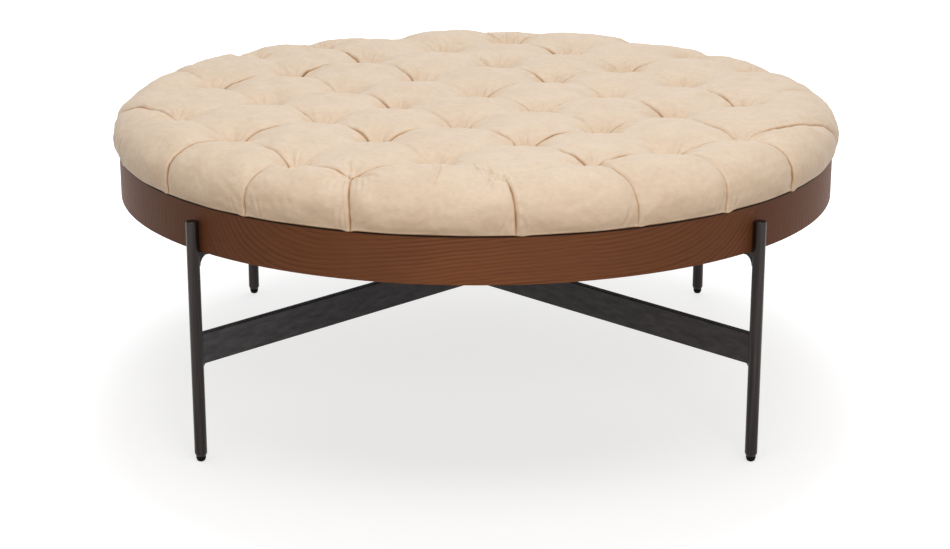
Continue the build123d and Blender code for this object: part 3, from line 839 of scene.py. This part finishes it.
def wood_material(name, turn, heart, board_shade):
    """Walnut-stained board, sawn so that its growth layers cross the curved face as nested arcs."""
    material, tree, shader = new_material(name)
    where = place_of(tree, turn=-turn)
    parts = add_node(tree, "ShaderNodeSeparateXYZ", {0: where})
    ring, year = growth_layers(tree, where, parts, heart)
    pores = noise(tree, place_of(tree, (30, 30, 500), -turn), 1.0, 4.0, 0.7)
    broad = noise(tree, where, 3.0, 3.0, 0.5)
    layers = ramp(tree, ring, (
        (0.0, (0.245, 0.098, 0.043)), (0.5, (0.215, 0.083, 0.035)), (0.86, (0.132, 0.047, 0.021)),
        (1.0, (0.235, 0.093, 0.041)),
    ))
    faint = noise(tree, place_of(tree, (1, 1, 1), 40 - turn), 9.0, 3.0, 0.6)
    strength = ramp(tree, faint, ((0.36, grey(0.35)), (0.60, grey(1))))
    depth = ramp(tree, year, ((0.0, grey(0.5)), (1.0, grey(1))))
    strength = blend_colours(tree, 1.0, strength, depth, "MULTIPLY")
    colour = blend_colours(tree, strength, (0.205, 0.078, 0.033), layers)
    cloudy = ramp(tree, broad, ((0.35, (0.88, 0.87, 0.87)), (0.68, (1.06, 1.03, 1.0))))
    colour = blend_colours(tree, 1.0, colour, cloudy, "MULTIPLY")
    # Painted shade: a board is darker towards its ends, and each board by its own amount
    middle = maths(tree, "ABSOLUTE", maths(tree, "SUBTRACT", parts.outputs["Y"], HEART_ASIDE))
    end_shade = (0.64 * board_shade, 0.62 * board_shade, 0.62 * board_shade)
    ends = ramp(tree, middle, ((0.08, grey(board_shade)), (0.36, end_shade)))
    colour = blend_colours(tree, 1.0, colour, ends, "MULTIPLY")
    # Painted shadow under the leather's hem: the board's top edge goes near black
    gap = add_node(tree, "ShaderNodeMapRange", {
        "Value": parts.outputs["Z"], "From Min": HEM_SHADOW_HEIGHT - HEM_SHADOW_FADE,
        "From Max": HEM_SHADOW_HEIGHT, "To Min": 0.0, "To Max": 0.92,
    }).outputs["Result"]
    colour = blend_colours(tree, gap, colour, (0.006, 0.004, 0.003))
    speck = ramp(tree, pores, ((0.38, grey(0.90)), (0.6, grey(1))))
    colour = blend_colours(tree, 1.0, colour, speck, "MULTIPLY")
    tree.links.new(colour, shader.inputs["Base Color"])
    shader.inputs["Roughness"].default_value = 0.55
    shader.inputs["Specular IOR Level"].default_value = 0.12
    tree.links.new(bump(tree, pores, 0.0002, 0.4), shader.inputs["Normal"])
    return material


def metal_material(name, colour, light, roughness, scale, painted_reflection=((0.0, grey(1)), (1.0, grey(1)))):
    """Satin painted metal with faint streaks along the bar, and a painted reflection that changes its colour
    from left to right.
    """
    material, tree, shader = new_material(name)
    streaks = noise(tree, place_of(tree, scale), 1.0, 4.0, 0.6)
    streaky = ramp(tree, streaks, ((0.35, colour), (0.68, light)))
    # Painted reflection: the colour is multiplied by a ramp from left to right
    sideways = add_node(tree, "ShaderNodeSeparateXYZ", {0: place_of(tree)}).outputs["X"]
    painted_reflection_colour = ramp(tree, maths(tree, "ADD", sideways, 0.5), painted_reflection)
    tree.links.new(blend_colours(tree, 1.0, streaky, painted_reflection_colour, "MULTIPLY"), shader.inputs["Base Color"])
    fine = noise(tree, place_of(tree), 900.0, 2.0, 0.5)
    rough = ramp(tree, fine, ((0.3, grey(roughness - 0.05)), (0.7, grey(roughness + 0.06))))
    tree.links.new(rough, shader.inputs["Roughness"])
    shader.inputs["Metallic"].default_value = 0.75
    shader.inputs["Specular IOR Level"].default_value = 0.45
    tree.links.new(bump(tree, streaks, 0.00012, 0.3), shader.inputs["Normal"])
    return material


def plain_material(name, dark, light, scale, roughness, stretch=(1, 1, 1), specular=0.3):
    """A matte material between a dark and a light colour, with a fine bump of the same pattern."""
    material, tree, shader = new_material(name)
    shader.inputs["Specular IOR Level"].default_value = specular
    pattern = noise(tree, place_of(tree, stretch), scale, 4.0, 0.6)
    tree.links.new(ramp(tree, pattern, ((0.35, dark), (0.65, light))), shader.inputs["Base Color"])
    shader.inputs["Roughness"].default_value = roughness
    tree.links.new(bump(tree, pattern, 0.0002, 0.5), shader.inputs["Normal"])
    return material


def dress(node, material):
    """Gives a node of the frame its material."""
    mesh = nodes[node].data
    mesh.materials.clear()
    mesh.materials.append(material)


leather = leather_material()
cushion.data.materials.append(leather)
dress("leather_cover", leather)
foam = plain_material("foam", (0.80, 0.74, 0.52), (0.90, 0.85, 0.66), 500.0, 0.9)
twine = plain_material("twine", (0.55, 0.45, 0.30), (0.75, 0.66, 0.50), 900.0, 0.8)
dust_cloth = plain_material("dust cloth", grey(0.010), grey(0.022), 900.0, 0.95)
bare_wood = plain_material("bare wood", (0.42, 0.27, 0.15), (0.56, 0.40, 0.25), 6.0, 0.7, (1, 1, 12))
leg_metal = metal_material("leg metal", (0.022, 0.018, 0.017), (0.046, 0.038, 0.036), 0.34, (260, 260, 7))
# The bars carry a painted reflection: lighter at the left end, darker in the middle
bar_metal = metal_material(
    "bar metal", (0.036, 0.034, 0.034), (0.060, 0.057, 0.056), 0.46, (40, 40, 160),
    ((0.12, (1.35, 1.35, 1.38)), (0.32, (0.80, 0.80, 0.82)), (0.85, (0.88, 0.82, 0.80))),
)
zinc = metal_material("zinc", (0.40, 0.40, 0.39), (0.58, 0.58, 0.56), 0.35, (300, 300, 300))
black_plastic = plain_material("black plastic", grey(0.002), grey(0.004), 700.0, 0.6, specular=0.08)

BOARD_TURNS = {"front": 270, "right": 0, "rear": 90, "left": 180}
for side, turn in BOARD_TURNS.items():
    dress(f"apron_{side}", wood_material(f"walnut {side}", turn, TREE_HEARTS[side], BOARD_SHADES[side]))
for name in nodes:
    if name.startswith(("corner_block", "apron_dowels", "deck_board")):
        dress(name, bare_wood)
    elif name.endswith("screws") or name.startswith("foot_stud"):
        dress(name, zinc)
    elif name.startswith("foot_"):
        dress(name, black_plastic)
    elif name.startswith("leg_"):
        dress(name, leg_metal)
    elif name.startswith("stretcher_"):
        dress(name, bar_metal)
dress("dust_cover", dust_cloth)
dress("foam_core", foam)
dress("tuft_ties", twine)


def make_camera():
    """The camera of the photographed view."""
    camera = bpy.data.cameras.new("camera")
    camera.sensor_width = SENSOR_WIDTH
    camera.lens = CAMERA_FOCAL_PIXELS * SENSOR_WIDTH / IMAGE_WIDTH
    viewer = bpy.data.objects.new("camera", camera)
    viewer.location = CAMERA_PLACE
    viewer.rotation_euler = (math.radians(90 - CAMERA_PITCH), 0, 0)
    bpy.context.scene.collection.objects.link(viewer)
    bpy.context.scene.camera = viewer


def make_light(name, place, target, size, power, colour=(1, 1, 1)):
    """A round soft lamp that shines on a target."""
    lamp = bpy.data.lights.new(name, "AREA")
    lamp.shape, lamp.size, lamp.energy, lamp.color = "DISK", size, power, colour
    holder = bpy.data.objects.new(name, lamp)
    holder.location = place
    holder.rotation_euler = (Vector(target) - Vector(place)).to_track_quat("-Z", "Y").to_euler()
    bpy.context.scene.collection.objects.link(holder)


def seen_directly(tree):
    """One for rays from the camera, a mirror or glass, zero for rays that light the object."""
    rays = add_node(tree, "ShaderNodeLightPath").outputs
    first = maths(tree, "MAXIMUM", rays["Is Camera Ray"], rays["Is Glossy Ray"])
    return maths(tree, "MAXIMUM", first, rays["Is Transmission Ray"])


def make_world():
    """A soft sky that lights the object, seen as plain white."""
    world = bpy.data.worlds.new("studio")
    world.use_nodes = True
    tree = world.node_tree
    background = tree.nodes["Background"]
    seen = seen_directly(tree)
    spot = add_node(tree, "ShaderNodeTexCoord").outputs["Generated"]
    height = add_node(tree, "ShaderNodeSeparateXYZ", {0: spot}).outputs["Z"]
    sky = ramp(tree, height, (
        (0.0, (0.39, 0.37, 0.35)), (0.35, (0.68, 0.61, 0.56)), (1.0, (0.48, 0.52, 0.56)),
    ))
    tree.links.new(blend_colours(tree, seen, sky, (1, 1, 1)), background.inputs["Color"])
    bpy.context.scene.world = world


def make_floor():
    """Pale floor with the table's own shadow, and a painted shadow in its glow that turns white further
    away.
    """
    half = FLOOR_SIZE / 2
    corners = [(-half, -half, 0), (half, -half, 0), (half, half, 0), (-half, half, 0)]
    floor = new_object("floor", corners, [(0, 1, 2, 3)])
    material, tree, shader = new_material("floor")
    shader.inputs["Roughness"].default_value = 0.9
    shader.inputs["Specular IOR Level"].default_value = 0.0
    shader.inputs["Base Color"].default_value = (0.42, 0.36, 0.31, 1)
    shaded = add_node(tree, "ShaderNodeBsdfDiffuse", {"Color": (*grey(0.42), 1)})
    # Painted shadow: the glow is dim round the table, and whitens soon beyond the legs at the sides, and
    # later in front
    spot = add_node(tree, "ShaderNodeTexCoord").outputs["Object"]
    ahead = add_node(tree, "ShaderNodeVectorMath", {0: spot, 1: (0, 0.08, 0)}, operation="ADD")
    inputs = {0: ahead.outputs[0], 1: (1, 0.8, 0)}
    oval = add_node(tree, "ShaderNodeVectorMath", inputs, operation="MULTIPLY").outputs[0]
    distance = add_node(tree, "ShaderNodeVectorMath", {0: oval}, operation="LENGTH").outputs["Value"]
    beyond = ramp(tree, distance, (
        (0.43, grey(0)), (0.49, grey(0.015)), (0.54, grey(0.07)), (0.62, grey(0.18)), (0.80, grey(0.45)),
    ))
    # Painted shadow: the glow is a little dimmer towards the front
    depth = add_node(tree, "ShaderNodeSeparateXYZ", {0: spot}).outputs["Y"]
    near = add_node(tree, "ShaderNodeMapRange", {
        "Value": depth, "From Min": -0.38, "From Max": -0.10, "To Min": 0.635, "To Max": 0.695,
    }).outputs["Result"]
    glow = add_node(tree, "ShaderNodeEmission", {"Strength": maths(tree, "ADD", near, beyond)})
    both = add_node(tree, "ShaderNodeAddShader", {0: shaded.outputs[0], 1: glow.outputs[0]})
    inputs = {0: seen_directly(tree), 1: shader.outputs[0], 2: both.outputs[0]}
    choose = add_node(tree, "ShaderNodeMixShader", inputs)
    tree.links.new(choose.outputs[0], tree.nodes["Material Output"].inputs["Surface"])
    floor.data.materials.append(material)


make_camera()
make_world()
make_floor()
make_light("key", (0.05, -0.9, 3.0), (0, 0, 0.3), 2.0, 22.0)
make_light("fill", (0.55, -2.8, 1.6), (0, 0, 0.3), 1.6, 22.0, (1.0, 0.94, 0.875))
make_light("back", (0.3, 2.4, 2.4), (0, 0, 0.35), 2.0, 12.6)

bpy.context.scene.view_settings.view_transform = "Standard"
